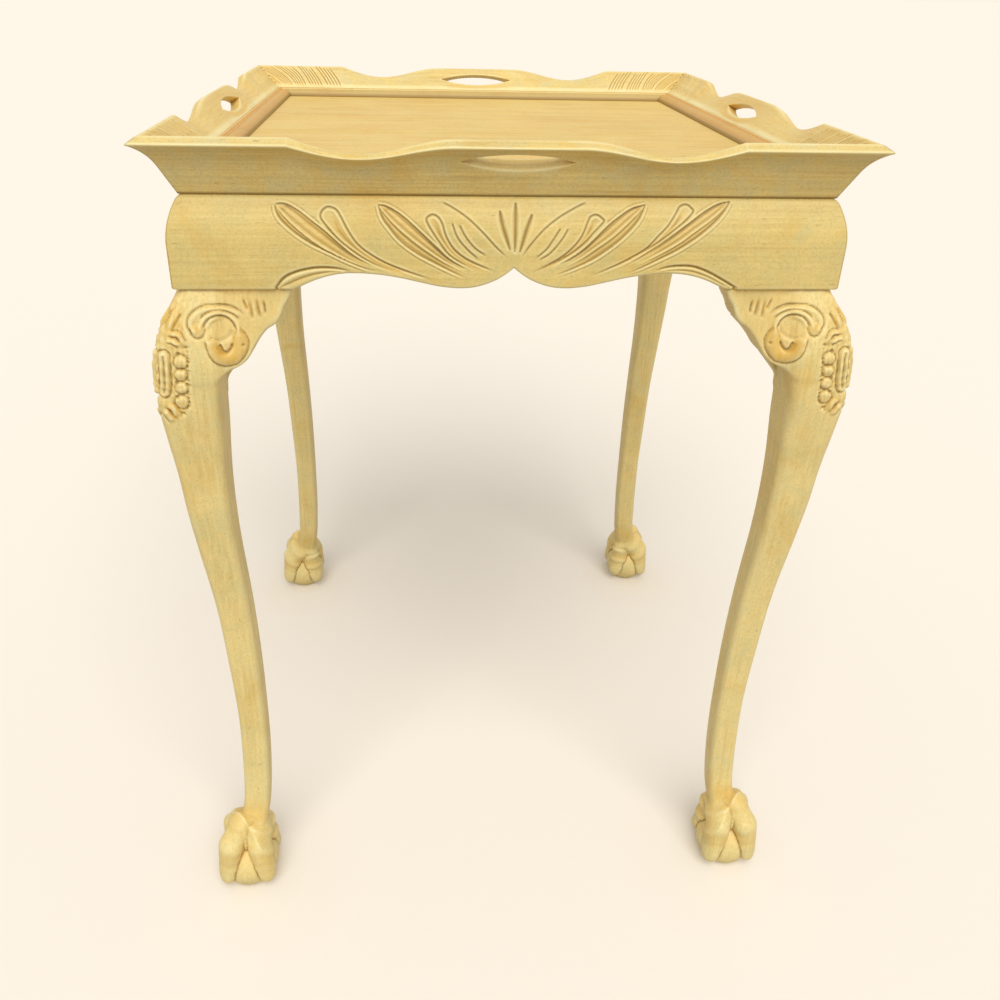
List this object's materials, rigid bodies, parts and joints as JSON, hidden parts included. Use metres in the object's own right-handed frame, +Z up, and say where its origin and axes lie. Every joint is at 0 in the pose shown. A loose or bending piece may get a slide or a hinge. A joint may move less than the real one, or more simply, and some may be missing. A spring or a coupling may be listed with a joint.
{
  "type": "tray top tea table",
  "caption": "Square tea table: a lift-off tray with a scalloped, hand-holed gallery on a carved stand with shaped aprons and cabriole legs on claw-and-ball feet.",
  "frame": {"origin": "on the floor, below the middle of the square tray", "axes": "+Z up; -Y towards the front side, +X towards the right side; the four sides are alike"},
  "size_m": [0.535, 0.535, 0.711],
  "materials": {
    "bleached_wood": "bleached, waxed to a soft sheen",
    "reddish_wood": "waxed to a soft sheen",
    "secondary_wood": "sawn and left bare",
    "nail_iron": "dull"
  },
  "bodies": {
    "stand": {"apron_front": "bleached_wood", "apron_right": "bleached_wood", "apron_rear": "bleached_wood", "apron_left": "bleached_wood", "leg_front_left": "bleached_wood", "leg_front_right": "bleached_wood", "leg_rear_right": "bleached_wood", "leg_rear_left": "bleached_wood", "knee_block_front_left": "bleached_wood", "knee_block_left_front": "bleached_wood", "knee_block_right_front": "bleached_wood", "knee_block_front_right": "bleached_wood", "knee_block_rear_right": "bleached_wood", "knee_block_right_rear": "bleached_wood", "knee_block_left_rear": "bleached_wood", "knee_block_rear_left": "bleached_wood", "corner_block_front_left": "secondary_wood", "corner_block_front_right": "secondary_wood", "corner_block_rear_right": "secondary_wood", "corner_block_rear_left": "secondary_wood"},
    "tray": {"tray_panel": "bleached_wood", "gallery_front": "bleached_wood", "gallery_right": "bleached_wood", "gallery_rear": "bleached_wood", "gallery_left": "bleached_wood", "tray_bead_front": "bleached_wood", "tray_bead_right": "reddish_wood", "tray_bead_rear": "bleached_wood", "tray_bead_left": "reddish_wood", "tray_batten_front": "secondary_wood", "tray_batten_rear": "secondary_wood", "batten_nails": "nail_iron"}
  },
  "joints": [
    {"name": "tray_lift", "type": "slide", "parent": "stand", "child": "tray", "axis": [0, 0, 1], "range_m": [0, 0.25]}
  ]
}
